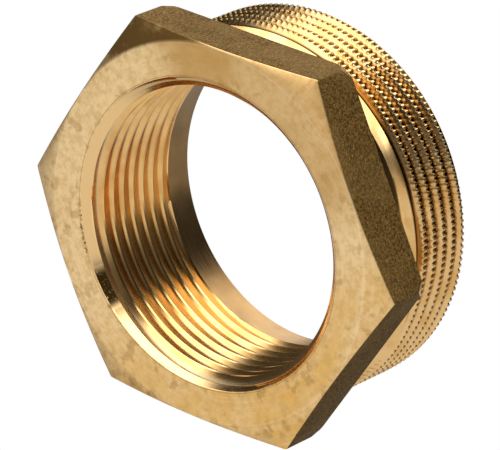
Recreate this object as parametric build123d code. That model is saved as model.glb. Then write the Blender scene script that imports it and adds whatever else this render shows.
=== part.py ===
from build123d import *
from build123d.topology import SkipClean
import math
import os

# Brass hexagon bushing, G 2 outside and G 1 1/2 inside.
# Millimetres. The bush stands on its threaded end, axis +Z, hexagon face up.

# Overall
total_length = 25.7
hexagon_across_flats = 59.0
hexagon_thickness = 8.9

# Turned front chamfer of the hexagon and the softer corners behind it
front_circle_d = 58.6
front_chamfer_angle = 16.0
back_circle_d = 66.6
back_corner_rise = 1.6

# Whitworth pipe thread form, 11 turns to the inch
pitch = 2.309
thread_depth = 1.4785
root_width = 0.385
flank_angle = 27.5

# Outside thread, G 2, its crests a little worn down; the groove starts in front of the end face
outside_root_r = 28.328
outside_crest_r = 29.6
outside_start_z = -1.293
outside_stop_z = 15.3
outside_start_angle = 40.0
outside_turned_by = -90.0
end_chamfer = 1.4

# Relief groove between hexagon and outside thread
neck_r = 28.1
neck_corner = 0.6
neck_floor_length = 2.6
neck_ramp_angle = 45.0

# Inside thread, G 1 1/2, from the hexagon face: level 55 degree grooves, one pitch apart
inside_root_r = 24.05
inside_crest_r = 22.42
inside_groove_count = 8
first_inside_groove_z = 7.55
mouth_d = 48.4
inside_thread_depth = 18.7

# Plain bore behind the inside thread
rear_bore_r = 24.1
rear_edge_break = 0.3

hexagon_back_z = total_length - hexagon_thickness
neck_end_z = hexagon_back_z - neck_floor_length
thread_stop_z = neck_end_z - (outside_crest_r - neck_r) / math.tan(math.radians(neck_ramp_angle))
mouth_bottom_z = total_length - (mouth_d / 2 - inside_crest_r)
bore_top_z = total_length - inside_thread_depth
bore_shoulder_z = bore_top_z - (rear_bore_r - inside_crest_r)
flank_slope = math.tan(math.radians(flank_angle))
across_corners = hexagon_across_flats / math.cos(math.radians(30))


def turned(*points):
    """Solid of revolution from (radius, height) points."""
    return revolve(Plane.XZ * make_face(Polyline(*points, close=True)), axis=Axis.Z)


def hexagon_head():
    """Hexagon with a turned cone over its front corners and a steeper one behind."""
    prism = Pos(0, 0, hexagon_back_z) * extrude(
        RegularPolygon(radius=across_corners / 2, side_count=6), hexagon_thickness
    )
    corner_r = across_corners / 2
    reach = corner_r + 1
    front_r = front_circle_d / 2
    back_r = back_circle_d / 2
    front_drop = (reach - front_r) * math.tan(math.radians(front_chamfer_angle))
    back_slope = back_corner_rise / (corner_r - back_r)
    envelope = turned(
        (0, hexagon_back_z),
        (back_r, hexagon_back_z),
        (reach, hexagon_back_z + (reach - back_r) * back_slope),
        (reach, total_length - front_drop),
        (front_r, total_length),
        (0, total_length),
    )
    return prism & envelope


def neck_root():
    """Disc under the hexagon whose sloping edge fills the corner of the relief groove."""
    low = hexagon_back_z - neck_corner
    high = hexagon_back_z + 1
    wide = neck_r + neck_corner
    return turned((0, low), (neck_r, low), (wide, hexagon_back_z), (wide, high), (0, high))


def outside_groove():
    """Cutter for the right-handed groove of the outside thread."""
    path = Helix(
        pitch=pitch,
        height=outside_stop_z - outside_start_z,
        radius=outside_root_r,
        center=(0, 0, outside_start_z),
    )
    half_root = root_width / 2
    half_open = half_root + thread_depth * flank_slope
    outline = Polyline(
        (0, -half_root),
        (thread_depth, -half_open),
        (thread_depth + 0.5, -half_open),
        (thread_depth + 0.5, half_open),
        (thread_depth, half_open),
        (0, half_root),
        close=True,
    )
    section = Plane(origin=path @ 0, x_dir=(1, 0, 0), z_dir=path % 0) * make_face(outline)
    return sweep(section, path=path, is_frenet=True).rotate(Axis.Z, outside_start_angle).solid()


def shank():
    """Outside thread with its end chamfer, and the relief groove above it."""
    end_r = outside_crest_r - end_chamfer
    blank = turned(
        (0, 0),
        (end_r, 0),
        (outside_crest_r, end_chamfer),
        (outside_crest_r, thread_stop_z),
        (neck_r, neck_end_z),
        (neck_r, hexagon_back_z + 1),
        (0, hexagon_back_z + 1),
    )
    return blank.solid().cut(outside_groove()).rotate(Axis.Z, outside_turned_by)


def bore():
    """Everything that is drilled or bored: mouth, inside thread core and rear bore."""
    edge_r = rear_bore_r + rear_edge_break
    return turned(
        (0, -1),
        (edge_r + 1, -1),
        (edge_r, 0),
        (rear_bore_r, rear_edge_break),
        (rear_bore_r, bore_shoulder_z),
        (inside_crest_r, bore_top_z),
        (inside_crest_r, mouth_bottom_z),
        (mouth_d / 2, total_length),
        (mouth_d / 2 + 1, total_length + 1),
        (0, total_length + 1),
    )


def inside_grooves():
    """V-shaped ring cutters of the inside thread."""
    inner_r = inside_crest_r - 0.3
    half_open = (inside_root_r - inner_r) * flank_slope
    ring = turned((inside_root_r, 0), (inner_r, half_open), (inner_r, -half_open))
    heights = [first_inside_groove_z + i * pitch for i in range(inside_groove_count)]
    return [Pos(0, 0, z) * ring.solid() for z in heights]


def with_divided_faces(solid):
    """The same solid, its round faces divided by two planes through the axis."""
    with SkipClean():
        pieces = [solid]
        for plane in (Plane.XZ, Plane.YZ):
            pieces = [half for piece in pieces for half in piece.split(plane, keep=Keep.ALL).solids()]
        return pieces[0].fuse(*pieces[1:])


def bushing():
    """Hexagon and threaded shank in one piece, bored through and threaded inside."""
    body = (hexagon_head() + neck_root()).solid().fuse(shank().solid())
    hollow = body.cut(bore().solid()).solid()
    return hollow.cut(*inside_grooves()).solid()


os.makedirs("parts", exist_ok=True)
hex_bushing = with_divided_faces(bushing())
hex_bushing.label = "hex_bushing"
export_step(hex_bushing, "parts/hex_bushing.step")
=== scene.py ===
import math

import bpy
import bmesh
from mathutils import Matrix, Vector, noise


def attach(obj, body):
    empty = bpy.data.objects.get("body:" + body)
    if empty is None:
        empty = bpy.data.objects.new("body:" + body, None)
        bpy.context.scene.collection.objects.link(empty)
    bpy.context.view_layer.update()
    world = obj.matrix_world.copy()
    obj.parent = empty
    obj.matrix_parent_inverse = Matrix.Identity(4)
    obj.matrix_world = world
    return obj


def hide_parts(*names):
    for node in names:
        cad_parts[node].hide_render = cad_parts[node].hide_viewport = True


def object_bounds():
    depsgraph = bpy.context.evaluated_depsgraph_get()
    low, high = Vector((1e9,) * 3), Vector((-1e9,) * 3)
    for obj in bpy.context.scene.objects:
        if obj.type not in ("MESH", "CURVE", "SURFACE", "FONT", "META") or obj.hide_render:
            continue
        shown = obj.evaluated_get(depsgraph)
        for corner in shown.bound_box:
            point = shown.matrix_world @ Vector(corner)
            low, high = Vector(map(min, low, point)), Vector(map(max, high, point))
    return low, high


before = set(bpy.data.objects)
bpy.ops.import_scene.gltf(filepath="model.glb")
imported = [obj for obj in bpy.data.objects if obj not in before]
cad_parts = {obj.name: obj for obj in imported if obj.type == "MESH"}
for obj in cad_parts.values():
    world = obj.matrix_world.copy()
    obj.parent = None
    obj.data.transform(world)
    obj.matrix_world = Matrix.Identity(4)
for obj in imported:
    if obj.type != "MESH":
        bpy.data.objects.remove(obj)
cad_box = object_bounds()

# Sizes are in millimetres, in the frame of the solid: threaded end at z = 0, hexagon face up
corner_r, crest_r, length = (1000 * size for size in cad_box[1])

# Hexagon, its turned front chamfer, the softer corners behind and the broken edges
LENGTH = round(length, 3)
HEXAGON_THICKNESS = 8.9
HEXAGON_BACK = LENGTH - HEXAGON_THICKNESS
HALF_FLATS = round(corner_r * math.cos(math.radians(30)), 3)
CORNER_ROUND = 0.35
FACE_EDGE_R = 29.3
FACE_CHAMFER = math.tan(math.radians(16))
BACK_R = 33.3
BACK_SLOPE = 2.1
EDGE = 0.11

# Thread form: pitch, lean of the flanks and half the floor of a groove
PITCH = 2.309
FLANK = math.tan(math.radians(27.5))
HALF_ROOT = 0.1925

# Outside thread and its end chamfer; a phase is the height of a groove's centre at angle 0
OUT_ROOT = 28.328
OUT_CREST = round(crest_r, 3)
OUT_RISE = OUT_CREST - OUT_ROOT
OUT_PHASE = -0.9723
END_CHAMFER = 1.4
END_R = OUT_CREST - END_CHAMFER
END_EDGE = 0.08

# Relief groove under the hexagon, with the fillet in its corner
NECK_R = 28.1
NECK_LENGTH = 2.6
NECK_END = HEXAGON_BACK - NECK_LENGTH
NECK_FILLET = 0.7

# Inside thread, its mouth, and the plain bore behind it
IN_ROOT = 23.9015
IN_CREST = 22.42
IN_RISE = IN_ROOT - IN_CREST
IN_PHASE = 0.1051
MOUTH_R = 24.2
MOUTH_EDGE = 0.08
INSIDE_THREAD = 18.7
BORE_R = 24.1
BORE_TOP = LENGTH - INSIDE_THREAD
BORE_SHOULDER = BORE_TOP - (BORE_R - IN_CREST)
BORE_EDGE = 0.3

# Crest of the outside thread: its lower edge above the groove's centre, its width and its wear
CREST_LOW = HALF_ROOT + OUT_RISE * FLANK
CREST_WIDTH = PITCH - 2 * CREST_LOW
CREST_WORN = 0.02
CREST_WAVE = 0.04

# Nicks in that crest: number in a turn, depth, share of it left at the upper edge, first tooth
NICKS = 180
NICK_DEPTH = 0.68
NICK_LEFT = 0.3
NICK_UNEVEN = 0.15
NICK_PHASE = 1.6

# Heights where the nicks run out, over how long, and up to where the crest folds on their edges
NICKS_END = 12.9
NICKS_FADE = 0.4
NICKED_TO = 12.0

# Half the top of a tooth between two nicks, as a share of their distance, and its fall on one side
TOOTH_LAND = 0.14
TOOTH_ROUND = 0.05

# Columns of mesh for each nick
NICK_COLUMNS = 4

# Rows of mesh nearer than this to a level end join it; closer angles than this count as one
SNAP = 0.01
SAME_ANGLE = 1e-6

# Edges that turn more than this are drawn sharp
SHARP_ANGLE = math.radians(28)

MILLIMETRE = 0.001

# Finishes, in the order of the materials
FACE, SKIN, THREAD, INNER, BORE, NICK, SLOPE = range(7)


# Shape

class Shell:
    """Vertices and faces of one closed skin, built ring by ring."""

    def __init__(self):
        self.mesh = bmesh.new()

    def point(self, angle, radius, z):
        """A vertex, in metres, from its place in degrees and millimetres."""
        a = math.radians(angle)
        co = Vector((radius * math.cos(a), radius * math.sin(a), z)) * MILLIMETRE
        return self.mesh.verts.new(co)

    def patch(self, corners, finish):
        """A face through the corners, leaving out repeated ones."""
        loop = [v for i, v in enumerate(corners) if v is not corners[i - 1]]
        if len(loop) < 3:
            return
        face = self.mesh.faces.new(loop)
        face.material_index = finish
        face.smooth = True

    def folded(self, corners, rises):
        """Two faces that meet on a diagonal: a nick's steep wall and the slope above it."""
        a, b, c, d = corners
        self.patch([a, b, d] if rises else [a, b, c], NICK)
        self.patch([b, c, d] if rises else [a, c, d], SLOPE)

    def ring(self, angles, radius, z):
        """One closed ring; radius and z are functions of the angle."""
        return [(a, self.point(a, radius(a), z(a))) for a in angles]

    def join(self, lower, upper, finish):
        """Faces between two rings that may have different numbers of points."""
        i = j = 0
        n, m = len(lower), len(upper)
        while i < n or j < m:
            next_low = lower[(i + 1) % n][0] + 360 * ((i + 1) // n) if i < n else math.inf
            next_up = upper[(j + 1) % m][0] + 360 * ((j + 1) // m) if j < m else math.inf
            step_low = next_low <= next_up + SAME_ANGLE
            step_up = next_up <= next_low + SAME_ANGLE
            corners = [lower[i % n][1]]
            if step_low:
                corners.append(lower[(i + 1) % n][1])
            if step_up:
                corners.append(upper[(j + 1) % m][1])
            corners.append(upper[j % m][1])
            self.patch(corners, finish)
            i += step_low
            j += step_up

    def rings(self, angles, previous, rows):
        """Rings joined one after the other, starting from the previous one. Gives the last."""
        for radius, z, finish in rows:
            ring = self.ring(angles, radius, z)
            self.join(previous, ring, finish)
            previous = ring
        return previous

    def column(self, angle, heights, low, high, radius):
        """Vertices up a threaded wall at one angle; rows past an end share that end's vertex."""
        bottom = self.point(angle, radius(angle, low), low)
        top = self.point(angle, radius(angle, high), high)
        made = []
        for height in heights:
            z = height + PITCH * angle / 360
            if z <= low + SNAP:
                made.append(bottom)
            elif z >= high - SNAP:
                made.append(top)
            else:
                made.append(self.point(angle, radius(angle, z), z))
        return made

    def thread(self, angles, offsets, phase, low, high, radius, finish, nicked_to=0.0):
        """A threaded wall whose rows follow the helix, cut off level at both ends.

        phase is the height of a groove centre at angle 0, offsets the heights of the rows
        from it, and radius(angle, z) the wall. Below the height nicked_to, the faces of the
        crest fold on the edges of its nicks. Gives the end rings.
        """
        first = math.floor((low - phase - offsets[-1]) / PITCH) - 1
        last = math.ceil((high - phase - offsets[0]) / PITCH)
        heights = [phase + k * PITCH + o for k in range(first, last + 1) for o in offsets]
        per_turn = len(offsets)
        columns = [self.column(a, heights, low, high, radius) for a in angles]
        top_row = len(heights) - 1
        for i, column in enumerate(columns):
            wraps = i + 1 == len(columns)
            after = columns[0 if wraps else i + 1]
            shift = per_turn if wraps else 0
            for j in range(top_row):
                k = min(j + shift, top_row)
                k1 = min(j + 1 + shift, top_row)
                corners = [column[j], after[k], after[k1], column[j + 1]]
                on_crest = j % per_turn == per_turn - 1
                nicked = heights[j] + PITCH * angles[i] / 360 < nicked_to
                if on_crest and nicked and i % NICK_COLUMNS > 1:
                    self.folded(corners, i % NICK_COLUMNS == NICK_COLUMNS - 1)
                else:
                    self.patch(corners, finish)
        lower = [(a, c[0]) for a, c in zip(angles, columns)]
        upper = [(a, c[-1]) for a, c in zip(angles, columns)]
        return lower, upper


def thread_rows(below, above):
    """Offsets of mesh rows from a groove centre, for heights up the lower and the upper flank."""
    lower = [-HALF_ROOT - h * FLANK for h in reversed(below)]
    return lower + [HALF_ROOT + h * FLANK for h in above]


def groove_height(angle, z, phase):
    """How far the 55 degree flank has risen from the groove's floor."""
    off = (z - phase - PITCH * angle / 360 + PITCH / 2) % PITCH - PITCH / 2
    return max(0.0, (abs(off) - HALF_ROOT) / FLANK)


def nicked_crest(angle, z):
    """Crest radius with its nicks, each a V that is deeper at the crest's lower edge."""
    turn = (angle - NICK_PHASE) * NICKS / 360
    side = turn - round(turn)
    slope = max(0.0, (abs(side) - TOOTH_LAND) / (0.5 - TOOTH_LAND))
    rounding = min(1.0, max(0.0, side) / TOOTH_LAND) ** 2 * TOOTH_ROUND
    above_edge = (z - OUT_PHASE - PITCH * angle / 360 - CREST_LOW) % PITCH
    if above_edge > PITCH - CREST_LOW:
        above_edge = 0.0
    runs_out = 1 - (1 - NICK_LEFT) * min(1.0, above_edge / CREST_WIDTH)
    uneven = 1 + NICK_UNEVEN * noise.noise(Vector((round(turn + 0.5) * 0.7, z * 0.4, 3.0)))
    fade = min(1.0, max(0.0, (NICKS_END - z) / NICKS_FADE))
    wave = CREST_WAVE * noise.noise(Vector((angle * 0.08, z * 0.5, 9.0)))
    nick = fade * runs_out * (slope * NICK_DEPTH * uneven + rounding)
    return OUT_CREST - nick - max(0.0, wave) - CREST_WORN


def outside_wall(angle, z):
    """Radius of the outside thread, its end chamfer and the relief groove."""
    free = min(END_R + z, NECK_R + max(0.0, NECK_END - z), nicked_crest(angle, z))
    return max(min(OUT_ROOT + groove_height(angle, z, OUT_PHASE), free), min(free, NECK_R))


def inside_wall(angle, z):
    """Radius of the inside thread, its mouth chamfer and the shoulder of the plain bore."""
    mouth = IN_CREST + max(0.0, z - (LENGTH - MOUTH_R + IN_CREST))
    recess = IN_CREST + min(max(0.0, BORE_TOP - z), BORE_R - IN_CREST)
    return max(mouth, recess, IN_ROOT - groove_height(angle, z, IN_PHASE))


def hexagon_radius(angle):
    """Radius of the hexagon bar, its corners a little rounded."""
    corner = HALF_FLATS / math.cos(math.radians(30))
    off_corner = math.radians((angle + 30) % 60 - 30)
    centre = corner - CORNER_ROUND / math.sin(math.radians(60))
    if abs(math.sin(off_corner)) * corner < CORNER_ROUND / 2:
        across = centre * math.sin(off_corner)
        return centre * math.cos(off_corner) + math.sqrt(CORNER_ROUND ** 2 - across ** 2)
    return HALF_FLATS / math.cos(math.radians(angle % 60 - 30))


def front_z(radius):
    """Height of the face, which falls in the turned chamfer."""
    return LENGTH - max(0.0, radius - FACE_EDGE_R) * FACE_CHAMFER


def back_z(radius):
    """Height of the hexagon's back, which rises at the corners."""
    return HEXAGON_BACK + max(0.0, radius - BACK_R) * BACK_SLOPE


def constant(value):
    """A radius or height that is the same all round."""
    return lambda angle: value


def inset(distance):
    """A radius that follows the hexagon at a distance."""
    return lambda angle: hexagon_radius(angle) - distance


def even(count):
    """Angles spread evenly over one turn."""
    return [360 * i / count for i in range(count)]


def hexagon_angles():
    """Every degree, and closer beside the corners."""
    near = [0.15, 0.295, 0.6]
    extra = [c + s * d for c in range(0, 361, 60) for d in near for s in (-1, 1)]
    return sorted(a for a in set(even(360) + extra) if 0 <= a < 360)


def nick_angles():
    """Four columns of mesh for each nick: a tooth's edges and middle, and the valley."""
    step = 360 / NICKS
    marks = (-TOOTH_LAND, 0.0, TOOTH_LAND, 0.5)
    return [NICK_PHASE + (i + m) * step for i in range(NICKS) for m in marks]


def head_rows():
    """Rings from the mouth over the face, down the flats and in to the relief groove."""
    rows = [
        (constant(MOUTH_R - MOUTH_EDGE + 0.05), constant(LENGTH - 0.02), FACE),
        (constant(MOUTH_R + 0.07), constant(LENGTH), FACE),
        (constant(26.8), constant(LENGTH), FACE),
        (constant(29.1), constant(LENGTH), FACE),
        (lambda a: min(FACE_EDGE_R + 0.06, hexagon_radius(a) - 0.13), constant(LENGTH), FACE),
        (inset(EDGE), lambda a: front_z(hexagon_radius(a) - EDGE), FACE),
        (inset(0.03), lambda a: front_z(hexagon_radius(a)) - 0.01, FACE),
        (inset(0.0), lambda a: front_z(hexagon_radius(a)) - EDGE, FACE),
        (inset(0.0), lambda a: back_z(hexagon_radius(a)) + EDGE, SKIN),
        (inset(0.03), lambda a: back_z(hexagon_radius(a)) + 0.02, SKIN),
        (lambda a: min(hexagon_radius(a) - EDGE, BACK_R), constant(HEXAGON_BACK), FACE),
        (constant(29.0), constant(HEXAGON_BACK), FACE),
    ]
    # Fillet under the hexagon, out from the floor of the relief groove and down from the back
    fillet = [(NECK_FILLET, 0.0), (0.32, 0.11), (0.09, 0.35)]
    for out, down in fillet:
        rows.append((constant(NECK_R + out), constant(HEXAGON_BACK - down), FACE))
    return rows


def end_rows():
    """Rings from the end chamfer over the end face and into the plain bore."""
    edge_r = BORE_R + BORE_EDGE
    rows = [
        (END_R + 0.01, 0.02, THREAD),
        (END_R - END_EDGE, 0.0, FACE),
        (26.2, 0.0, FACE),
        (edge_r + 0.05, 0.0, FACE),
        (edge_r - 0.05, 0.05, FACE),
        (BORE_R, BORE_EDGE + 0.05, FACE),
        (BORE_R, 2.0, BORE),
        (BORE_R, 3.7, BORE),
    ]
    return [(constant(radius), constant(z), finish) for radius, z, finish in rows]


def build_shell():
    """Both threaded walls, then the rings that close the skin over each end."""
    shell = Shell()
    circle = even(288)
    inner_rows = [0.0, 0.45, 0.95, 1.38, IN_RISE]
    inside = shell.thread(
        circle, thread_rows(inner_rows, inner_rows), IN_PHASE,
        BORE_SHOULDER, LENGTH - MOUTH_EDGE, inside_wall, INNER,
    )
    outer_rows = thread_rows([0.0, 0.6, 0.97, OUT_RISE], [0.0, 0.53, 0.9, OUT_RISE])
    outside = shell.thread(
        nick_angles(), outer_rows, OUT_PHASE,
        END_EDGE, HEXAGON_BACK - NECK_FILLET, outside_wall, THREAD, NICKED_TO,
    )
    head = shell.rings(hexagon_angles(), inside[1], head_rows())
    shell.join(head, outside[1], THREAD)
    end = shell.rings(circle, outside[0], end_rows())
    shell.join(end, inside[0], BORE)
    bmesh.ops.recalc_face_normals(shell.mesh, faces=shell.mesh.faces)
    return shell.mesh


# Materials

class Graph:
    """Short calls for the nodes of one material or world."""

    def __init__(self, tree):
        self.tree = tree
        tree.nodes.clear()

    def node(self, kind, inputs=None, **settings):
        made = self.tree.nodes.new(kind)
        for name, value in settings.items():
            setattr(made, name, value)
        for socket, value in (inputs or {}).items():
            if isinstance(value, bpy.types.NodeSocket):
                self.tree.links.new(value, made.inputs[socket])
            else:
                made.inputs[socket].default_value = value
        return made

    def math(self, operation, a, b=0.0, clamp=False):
        return self.node("ShaderNodeMath", {0: a, 1: b}, operation=operation, use_clamp=clamp).outputs[0]

    def vector(self, x, y, z):
        return self.node("ShaderNodeCombineXYZ", {0: x, 1: y, 2: z}).outputs[0]

    def noise(self, vector, scale=1.0, detail=3.0, roughness=0.5):
        made = self.node(
            "ShaderNodeTexNoise",
            {"Vector": vector, "Scale": scale, "Detail": detail, "Roughness": roughness},
        )
        return made.outputs[0]

    def remap(self, value, low, high, to_low=0.0, to_high=1.0):
        """The value taken smoothly from one range to another, and held at its ends."""
        made = self.node(
            "ShaderNodeMapRange", {0: value, 1: low, 2: high, 3: to_low, 4: to_high},
            interpolation_type="SMOOTHSTEP",
        )
        return made.outputs[0]

    def mix(self, factor, a, b):
        made = self.node("ShaderNodeMix", {0: factor, 6: a, 7: b}, data_type="RGBA")
        return made.outputs[2]


def colour(code):
    """Linear colour from a hexadecimal sRGB code."""
    parts = [int(code[i:i + 2], 16) / 255 for i in (0, 2, 4)]
    linear = [c / 12.92 if c <= 0.04045 else ((c + 0.055) / 1.055) ** 2.4 for c in parts]
    return (*linear, 1.0)


class Place:
    """Where a shaded point is on the bushing, in millimetres."""

    def __init__(self, g):
        raw = g.node("ShaderNodeTexCoord").outputs["Object"]
        scaled = g.node("ShaderNodeVectorMath", {0: raw, 1: (1000, 1000, 1000)}, operation="MULTIPLY")
        self.point = scaled.outputs[0]
        parts = g.node("ShaderNodeSeparateXYZ", {0: self.point})
        self.x, self.y, self.z = parts.outputs
        square = g.math("ADD", g.math("MULTIPLY", self.x, self.x), g.math("MULTIPLY", self.y, self.y))
        self.r = g.math("SQRT", square)
        self.cos = g.math("DIVIDE", self.x, self.r)
        self.sin = g.math("DIVIDE", self.y, self.r)

    def around(self, g, along, across):
        """Coordinates whose noise makes turning lines: slow round the axis, quick in r and z."""
        return g.vector(
            g.math("MULTIPLY", self.cos, along),
            g.math("MULTIPLY", self.sin, along),
            g.math("MULTIPLY", g.math("ADD", self.r, self.z), across),
        )

    def radial(self, g, across, along):
        """Coordinates whose noise makes streaks that run outwards."""
        return g.vector(
            g.math("MULTIPLY", self.cos, across),
            g.math("MULTIPLY", self.sin, across),
            g.math("MULTIPLY", self.r, along),
        )

    def sector(self, g, middle, half):
        """One within half an angle of the middle, in degrees, and nought outside, softly."""
        a = math.radians(middle)
        toward = g.math("MULTIPLY", self.cos, math.cos(a))
        toward = g.math("ADD", toward, g.math("MULTIPLY", self.sin, math.sin(a)))
        return g.remap(toward, math.cos(math.radians(half * 1.3)), math.cos(math.radians(half * 0.7)))

    def near_radius(self, g, radius, reach, strength):
        """The strength on a circle round the axis, fading to nought at its reach."""
        off = g.math("ABSOLUTE", g.math("SUBTRACT", self.r, radius))
        return g.remap(off, 0.0, reach, strength, 0.0)


def metal(graph, base, roughness, height, bare=1.0):
    """Brass with the given colour, roughness and relief in millimetres.

    bare is its share of clean metal; the rest is a dull film that hardly mirrors.
    """
    bump = graph.node("ShaderNodeBump", {"Height": height, "Strength": 1.0, "Distance": 0.001})
    shader = graph.node(
        "ShaderNodeBsdfPrincipled",
        {"Base Color": base, "Metallic": bare, "Roughness": roughness, "Normal": bump.outputs[0],
         "Specular IOR Level": 0.02},
    )
    graph.node("ShaderNodeOutputMaterial", {0: shader.outputs[0]})


def new_material(name):
    material = bpy.data.materials.new(name)
    material.use_nodes = True
    return material, Graph(material.node_tree)


def face_brass(g, at, cloud):
    """Colour of the clean face: more golden low down, with pale rings and a fine mottle."""
    low = g.remap(at.x, -2.0, -29.0, 0.0, 0.8)
    golden = g.math("MULTIPLY", g.remap(cloud, 0.38, 0.6, 0.55, 1.0), g.math("ADD", low, 0.2))
    base = g.mix(golden, colour("ecd09f"), colour("dfae5c"))
    rings = g.noise(at.around(g, 0.6, 1.3), detail=2.0)
    base = g.mix(g.remap(rings, 0.5, 0.7, 0.0, 0.3), base, colour("ecd2a2"))
    fine = g.noise(at.around(g, 1.5, 14.0), detail=3.0)
    base = g.mix(g.remap(fine, 0.45, 0.7, 0.0, 0.35), base, colour("c49b62"))
    mottle = g.noise(at.point, scale=0.7, detail=6.0, roughness=0.65)
    return g.mix(g.remap(mottle, 0.42, 0.62, 0.0, 0.5), base, colour("c79f63"))


def face_stain(g, at, spots):
    """How stained the face is: round spots, and thin drips at the mouth and the rim."""
    near_mouth = g.remap(at.r, MOUTH_R, 25.6, 1.0, 0.0)
    near_rim = g.remap(at.r, 27.9, 29.8, 0.0, 1.0)
    edge = g.math("ADD", near_mouth, near_rim, clamp=True)
    drip = g.noise(at.radial(g, 16.0, 0.5), detail=3.0, roughness=0.6)
    dripped = g.math("MULTIPLY", edge, g.remap(drip, 0.5, 0.68, 0.0, 0.5))
    spotted = g.remap(spots, 0.58, 0.65, 0.0, 0.42)
    return g.math("ADD", dripped, spotted, clamp=True)


def face_wear(g, at, cloud, base):
    """The face's colour with its browner side, its chamfer, a thin painted highlight on the rim's edge,
    and a dark line at the mouth's edge.
    """
    worn = g.math("MULTIPLY", at.sector(g, -50, 42), g.remap(cloud, 0.3, 0.6, 0.9, 0.45))
    base = g.mix(worn, base, colour("b98f50"))
    chamfer = g.remap(at.r, FACE_EDGE_R, 29.9, 0.0, 0.14)
    base = g.mix(chamfer, base, colour("c79857"))
    # Painted highlight: a thin pale line on the face's outer edge, where it catches the light
    base = g.mix(at.near_radius(g, FACE_EDGE_R + 0.05, 0.2, 0.18), base, colour("f3dfb8"))
    return g.mix(at.near_radius(g, 24.36, 0.13, 0.6), base, colour("9c6a32"))


def mouth_specks(g, at):
    """Small black specks beside the mouth."""
    fleck = g.noise(at.point, scale=4.5, detail=2.0)
    specks = g.math("MULTIPLY", at.sector(g, 76, 9), g.remap(at.r, 24.75, 24.45))
    return g.math("MULTIPLY", specks, g.remap(fleck, 0.54, 0.6))


def turned_face():
    """Pale satin brass, more golden low on the face, stained in spots and in thin drips."""
    material, g = new_material("turned_face")
    at = Place(g)
    lines = g.noise(at.around(g, 2.0, 9.0), detail=4.0)
    cloud = g.noise(at.point, scale=0.09, detail=3.0)
    spots = g.noise(at.point, scale=0.33, detail=5.0, roughness=0.55)
    stain = face_stain(g, at, spots)
    raw = g.math("MULTIPLY", at.sector(g, -3, 19), g.remap(at.r, 29.2, 29.9))
    raw = g.math("MULTIPLY", raw, g.remap(spots, 0.3, 0.5, 0.75, 1.0))
    base = face_brass(g, at, cloud)
    base = g.mix(stain, base, colour("a07a42"))
    base = face_wear(g, at, cloud, base)
    base = g.mix(raw, base, colour("644b26"))
    base = g.mix(mouth_specks(g, at), base, colour("2c1d0b"))
    rough = g.math("ADD", g.remap(lines, 0.3, 0.7, 0.32, 0.4), g.math("MULTIPLY", stain, 0.1))
    rough = g.math("ADD", rough, g.math("MULTIPLY", raw, 0.25))
    relief = g.math("ADD", g.math("MULTIPLY", lines, 0.003), g.math("MULTIPLY", spots, 0.012))
    metal(g, base, rough, relief)
    return material


def drawn_skin():
    """Dull brown oxide of the drawn bar, grainy, with a few bright flecks."""
    material, g = new_material("drawn_skin")
    at = Place(g)
    grain = g.noise(at.point, scale=2.4, detail=6.0, roughness=0.72)
    cloud = g.noise(at.point, scale=0.12, detail=3.0)
    fleck = g.noise(at.point, scale=5.0, detail=1.0)
    base = g.mix(g.remap(grain, 0.38, 0.62), colour("36260f"), colour("634b24"))
    base = g.mix(g.remap(cloud, 0.45, 0.65, 0.0, 0.3), base, colour("6b5530"))
    base = g.mix(g.remap(fleck, 0.68, 0.74, 0.0, 0.8), base, colour("ab8b58"))
    rough = g.remap(grain, 0.3, 0.7, 0.55, 0.68)
    relief = g.math("MULTIPLY", grain, 0.07)
    metal(g, base, rough, relief, bare=0.15)
    return material


def cut_thread():
    """Bright turned brass, with painted shade darkening the bottom of the grooves."""
    material, g = new_material("cut_thread")
    at = Place(g)
    lines = g.noise(at.around(g, 3.0, 9.0), detail=3.0)
    cloud = g.noise(at.point, scale=0.3, detail=4.0)
    base = g.mix(g.remap(cloud, 0.35, 0.7), colour("dab47c"), colour("cb9f60"))
    # Painted shade: the colour turns dark low in the grooves of the nicked thread, as if shadowed
    threaded = g.remap(at.z, 12.9, 13.1, 1.0, 0.0)
    floor = g.math("MULTIPLY", threaded, g.remap(at.r, 28.52, 28.98, 1.0, 0.0))
    base = g.mix(floor, base, colour("38250b"))
    ramp = g.math("MULTIPLY", g.remap(at.z, 12.7, 13.1), g.remap(at.z, 14.4, 14.1, 1.0, 0.0))
    base = g.mix(g.math("MULTIPLY", ramp, 0.75), base, colour("84632f"))
    rough = g.remap(lines, 0.3, 0.7, 0.14, 0.21)
    metal(g, base, rough, g.math("MULTIPLY", lines, 0.002))
    return material


def cut_inside():
    """The inside thread and its mouth: bright crests, duller grooves and one dark patch."""
    material, g = new_material("cut_inside")
    at = Place(g)
    lines = g.noise(at.around(g, 3.0, 8.0), detail=3.0)
    cloud = g.noise(at.point, scale=0.25, detail=4.0)
    base = g.mix(g.remap(cloud, 0.35, 0.7), colour("dbb070"), colour("cb9c5b"))
    inner = g.remap(at.z, 24.2, 24.5, 1.0, 0.0)
    floor = g.math("MULTIPLY", inner, g.remap(at.r, 22.7, 23.8, 0.0, 0.85))
    base = g.mix(floor, base, colour("cdb994"))
    base = g.mix(g.remap(at.z, 24.25, 24.4), base, colour("dfba82"))
    grit = g.noise(at.point, scale=3.0, detail=4.0, roughness=0.7)
    soiled = g.math("MULTIPLY", at.sector(g, 98.8, 7.0), g.remap(at.z, 24.35, 24.6))
    soiled = g.math("MULTIPLY", soiled, g.remap(grit, 0.24, 0.4))
    base = g.mix(soiled, base, colour("33240e"))
    rough = g.math("ADD", g.remap(lines, 0.3, 0.7, 0.1, 0.16), g.math("MULTIPLY", floor, 0.2))
    rough = g.math("ADD", rough, g.math("MULTIPLY", soiled, 0.3))
    relief = g.math("ADD", g.math("MULTIPLY", lines, 0.002), g.math("MULTIPLY", soiled, -0.04))
    metal(g, base, rough, relief)
    return material


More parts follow.
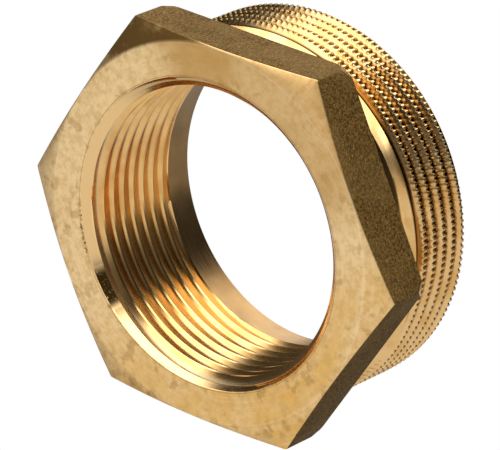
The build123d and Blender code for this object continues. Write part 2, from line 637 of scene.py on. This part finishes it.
def plain_bore():
    """Brushed bore with fine turning lines, browner than the thread; the brown is partly painted shade
    for the dim light inside it.
    """
    material, g = new_material("plain_bore")
    at = Place(g)
    lines = g.noise(at.around(g, 2.0, 8.0), detail=4.0)
    cloud = g.noise(at.point, scale=0.15, detail=4.0)
    # Partly painted shade: the dark brown also stands in for the dim light deep in the bore
    base = g.mix(g.remap(cloud, 0.35, 0.7), colour("8d7048"), colour("765b38"))
    base = g.mix(g.remap(lines, 0.5, 0.66, 0.0, 0.35), base, colour("8a6c40"))
    rough = g.remap(lines, 0.3, 0.7, 0.26, 0.34)
    metal(g, base, rough, g.math("MULTIPLY", lines, 0.006))
    return material


def pressed(name, dark, pale, bare):
    """Dull brass where the crests were pressed in; bare is its share of clean metal."""
    material, g = new_material(name)
    at = Place(g)
    grain = g.noise(at.point, scale=4.0, detail=3.0)
    base = g.mix(g.remap(grain, 0.35, 0.65), colour(dark), colour(pale))
    rough = g.remap(grain, 0.3, 0.7, 0.5, 0.7)
    metal(g, base, rough, g.math("MULTIPLY", grain, 0.01), bare)
    return material


def nick_wall_painted_shade():
    # Painted shade: near-black dull brass on the nicks' steep walls stands in for their shadow
    return pressed("nick_wall_painted_shade", "2a1b08", "4c3315", bare=0.2)


def nick_slope():
    return pressed("nick_slope", "7a6038", "9c7d4c", bare=0.6)


def bushing():
    """The whole bushing as one piece, its materials in the order of the finishes."""
    mesh = bpy.data.meshes.new("bushing_skin")
    build_shell().to_mesh(mesh)
    for make in (turned_face, drawn_skin, cut_thread, cut_inside, plain_bore, nick_wall_painted_shade, nick_slope):
        mesh.materials.append(make())
    mesh.set_sharp_from_angle(angle=SHARP_ANGLE)
    made = bpy.data.objects.new("bushing_skin", mesh)
    bpy.context.scene.collection.objects.link(made)
    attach(made, "root")
    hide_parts("hex_bushing")


# Light and camera

CAMERA_AT = Vector((0.0454, -0.4654, 0.5218))
CAMERA_RIGHT = Vector((-0.3264, -0.7106, -0.6234))
CAMERA_UP = Vector((0.9428, -0.1975, -0.2684))
CAMERA_BACK = CAMERA_RIGHT.cross(CAMERA_UP)
FOCAL_LENGTH = 332.86
SENSOR_WIDTH = 36

LAMP_LEVEL = 3.4
SCREEN_SHARE = 0.95
TABLE_LEVEL = 0.86
CAMERA_SHADE = 0.85


def lamps(g, right, up, near):
    """Where the large softbox overhead and the upright screen at the left are."""
    height = g.math("MAXIMUM", up, 0.02)
    across = g.math("DIVIDE", right, height)
    ahead = g.math("DIVIDE", near, height)
    softbox = g.remap(across, -1.08, -0.86)
    softbox = g.math("MULTIPLY", softbox, g.remap(across, 0.92, 1.14, 1.0, 0.0))
    softbox = g.math("MULTIPLY", softbox, g.remap(ahead, -1.16, -1.04))
    screen = g.math("MULTIPLY", g.remap(right, -0.5, -0.62), g.remap(near, 0.26, 0.44))
    bright = g.math("MAXIMUM", softbox, g.math("MULTIPLY", screen, SCREEN_SHARE))
    return g.math("MULTIPLY", bright, g.remap(up, -0.02, 0.12))


def table(g, right, up, near):
    """Where the pale table below is, dimmer far behind and lighter at the right."""
    below = g.math("MULTIPLY", g.remap(up, 0.02, -0.14), g.remap(near, -0.6, -0.1, 0.5, 1.0))
    return g.math("MULTIPLY", below, g.remap(right, 0.2, 0.6, 1.0, 1.2))


def camera_shade(g, right, up, near):
    """Where the dark camera is, as a soft oval in front of the bushing."""
    beside = g.math("DIVIDE", g.math("ADD", right, 0.28), 0.4)
    above = g.math("DIVIDE", up, 0.36)
    spread = g.math("ADD", g.math("MULTIPLY", beside, beside), g.math("MULTIPLY", above, above))
    return g.math("MULTIPLY", g.remap(spread, 1.25, 0.7), g.remap(near, 0.3, 0.6))


def studio():
    """Large softbox overhead, pale table below and a dark room round them, on a white background.

    Right, up and near are the photograph's directions, so the bushing is lit as it lay there.
    """
    world = bpy.data.worlds.new("studio")
    bpy.context.scene.world = world
    world.use_nodes = True
    g = Graph(world.node_tree)
    direction = g.node("ShaderNodeTexCoord").outputs["Generated"]

    def along(axis):
        dot = g.node("ShaderNodeVectorMath", {0: direction, 1: tuple(axis)}, operation="DOT_PRODUCT")
        return dot.outputs["Value"]

    right = along(CAMERA_RIGHT)
    up = along(CAMERA_UP)
    near = along(CAMERA_BACK)
    room = g.remap(up, 0.0, 0.45, 0.13, 0.04)
    level = g.math("ADD", room, g.math("MULTIPLY", table(g, right, up, near), TABLE_LEVEL))
    level = g.math("ADD", level, g.math("MULTIPLY", lamps(g, right, up, near), LAMP_LEVEL))
    shade = g.math("MULTIPLY", camera_shade(g, right, up, near), CAMERA_SHADE)
    level = g.math("MULTIPLY", level, g.math("SUBTRACT", 1.0, shade))

    # The white background is seen directly, and mirrored only at the most grazing angles
    path = g.node("ShaderNodeLightPath").outputs
    mirrored = g.math("MAXIMUM", path["Is Glossy Ray"], path["Is Transmission Ray"])
    mirrored = g.math("MULTIPLY", mirrored, g.remap(near, -0.985, -0.995))
    shown = g.math("MAXIMUM", path["Is Camera Ray"], mirrored)
    seen = g.node("ShaderNodeBackground", {"Color": (1, 1, 1, 1), "Strength": 1.0})
    lit = g.node("ShaderNodeBackground", {"Color": (1, 1, 1, 1), "Strength": level})
    both = g.node("ShaderNodeMixShader", {0: shown, 1: lit.outputs[0], 2: seen.outputs[0]})
    g.node("ShaderNodeOutputWorld", {0: both.outputs[0]})


def camera():
    """The photograph's camera: its place, its axes and its focal length."""
    data = bpy.data.cameras.new("camera")
    data.sensor_width = SENSOR_WIDTH
    data.lens = FOCAL_LENGTH
    data.clip_start = 0.01
    made = bpy.data.objects.new("camera", data)
    bpy.context.scene.collection.objects.link(made)
    turn = Matrix((CAMERA_RIGHT, CAMERA_UP, CAMERA_BACK)).transposed().to_4x4()
    made.matrix_world = Matrix.Translation(CAMERA_AT) @ turn
    bpy.context.scene.camera = made


bushing()
studio()
camera()
bpy.context.scene.view_settings.view_transform = "Standard"
